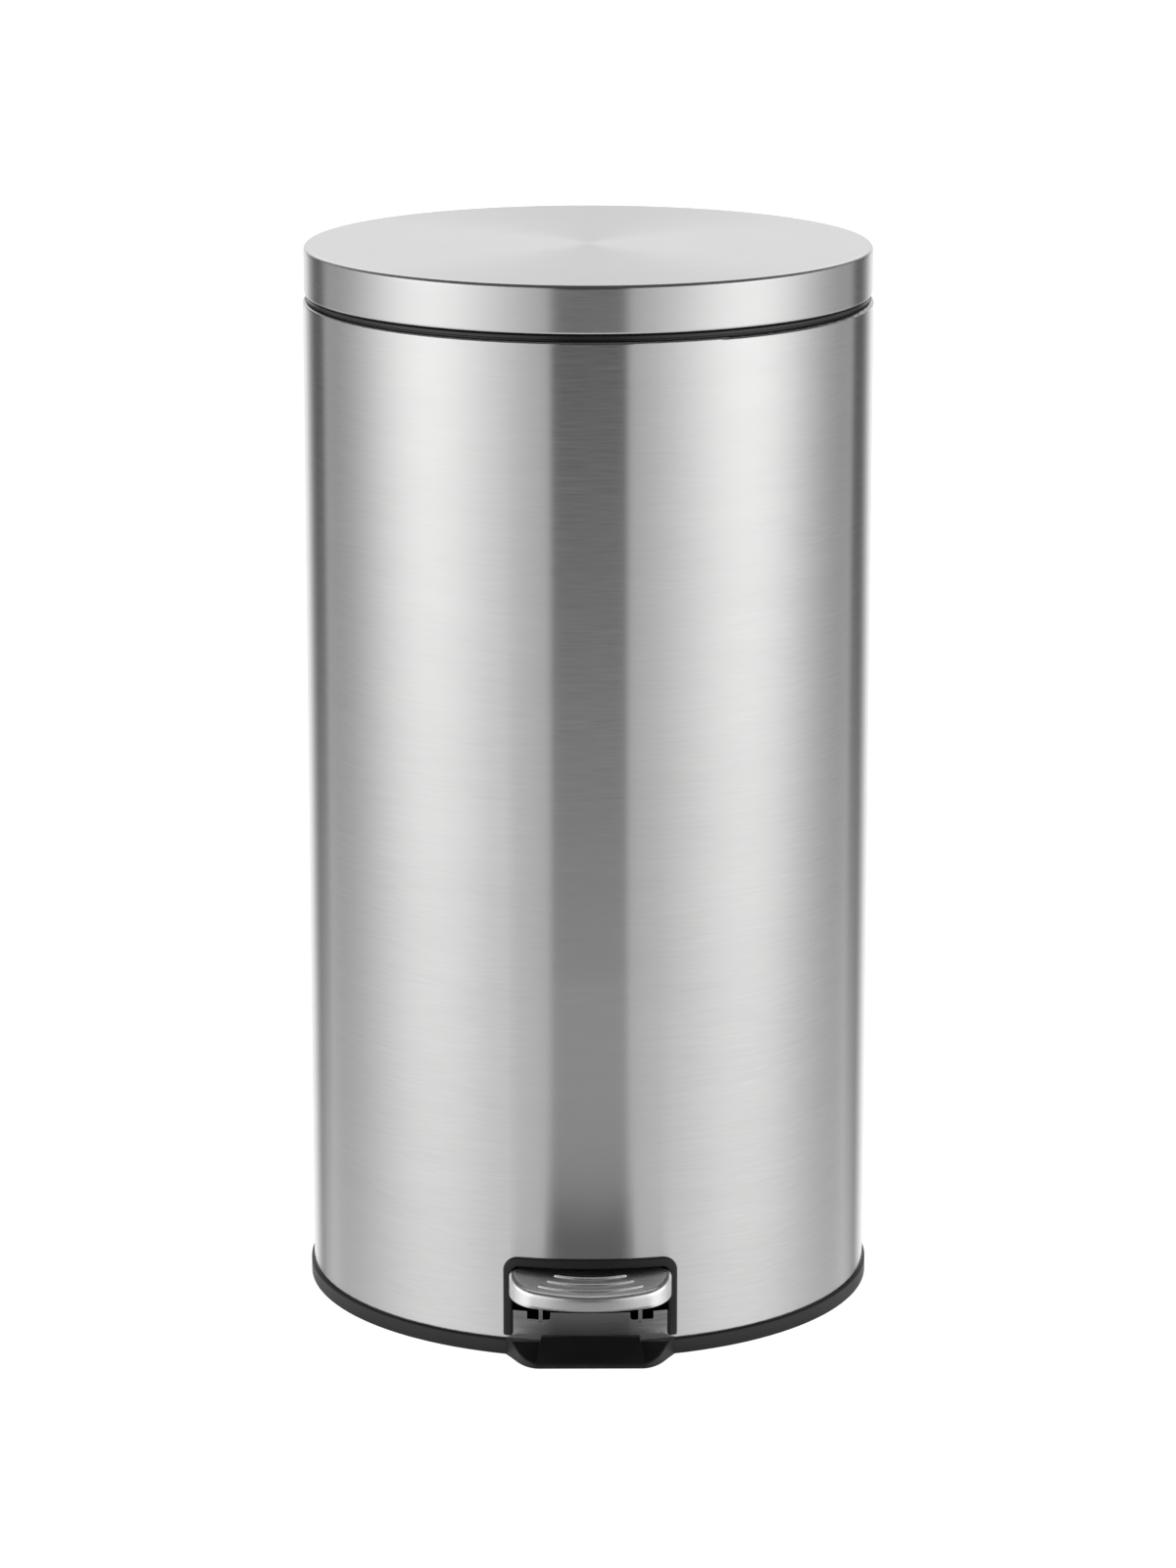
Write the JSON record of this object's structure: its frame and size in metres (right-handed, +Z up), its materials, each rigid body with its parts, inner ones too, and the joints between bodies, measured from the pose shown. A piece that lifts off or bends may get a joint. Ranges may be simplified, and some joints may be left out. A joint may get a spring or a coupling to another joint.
{
  "type": "pedal trash can",
  "caption": "Round brushed-steel waste bin with a flat hinged lid raised by a foot pedal through a lever and push rod, black base with toe guard, and a removable inner pail.",
  "frame": {"origin": "on the floor, under the middle of the round body", "axes": "+Z up, -Y towards the pedal, +X to the right of someone facing the pedal"},
  "size_m": [0.295, 0.3271, 0.549],
  "materials": {
    "brushed_steel": "brushed stainless sheet",
    "plated_steel": "zinc plated steel",
    "black_plastic": "fine textured black moulding",
    "pail_plastic": "smooth dark moulding",
    "nylon": "natural nylon",
    "rubber": "matte rubber"
  },
  "bodies": {
    "can": {"base_tray": "black_plastic", "anti_slip_ring": "rubber", "body_shell": "brushed_steel", "pedal_bezel": "black_plastic", "rim_collar": "black_plastic", "inner_bucket": "pail_plastic", "pivot_brackets": "plated_steel", "bracket_screws": "plated_steel", "lever_axle": "plated_steel", "axle_clips": "plated_steel", "rod_guides": "black_plastic", "guide_rivets": "plated_steel", "hinge_housing": "black_plastic", "hinge_pin": "plated_steel", "hinge_screws": "plated_steel", "lid_bumpers": "rubber"},
    "lid": {"lid_shell": "brushed_steel", "lid_liner": "black_plastic", "lid_hinge_bracket": "plated_steel", "crank_pin": "plated_steel", "lid_screws": "plated_steel"},
    "pedal": {"pedal_tread": "brushed_steel", "lever_frame": "plated_steel", "lever_bushes": "nylon", "lever_tail": "plated_steel", "tail_rivets": "plated_steel", "lever_shoe": "nylon", "shoe_pin": "plated_steel"},
    "push_rod": {"push_rod": "plated_steel", "rod_head": "plated_steel", "rod_foot": "black_plastic"}
  },
  "joints": [
    {"name": "lid_hinge", "type": "hinge", "parent": "can", "child": "lid", "pos_m": [0, 0.155, 0.523], "axis": [-1, 0, 0], "range_deg": [0, 85]},
    {"name": "pedal_press", "type": "hinge", "parent": "can", "child": "pedal", "pos_m": [0, -0.06, 0.014], "axis": [1, 0, 0], "range_deg": [0, 7.86]},
    {"name": "rod_lift", "type": "slide", "parent": "can", "child": "push_rod", "axis": [0, 0, 1], "range_m": [0, 0.0271]}
  ],
  "couplings": [
    {"joint": "pedal_press", "follows": "lid_hinge", "ratio": 0.092462},
    {"joint": "rod_lift", "follows": "lid_hinge", "m_per_rad": 0.018216}
  ]
}
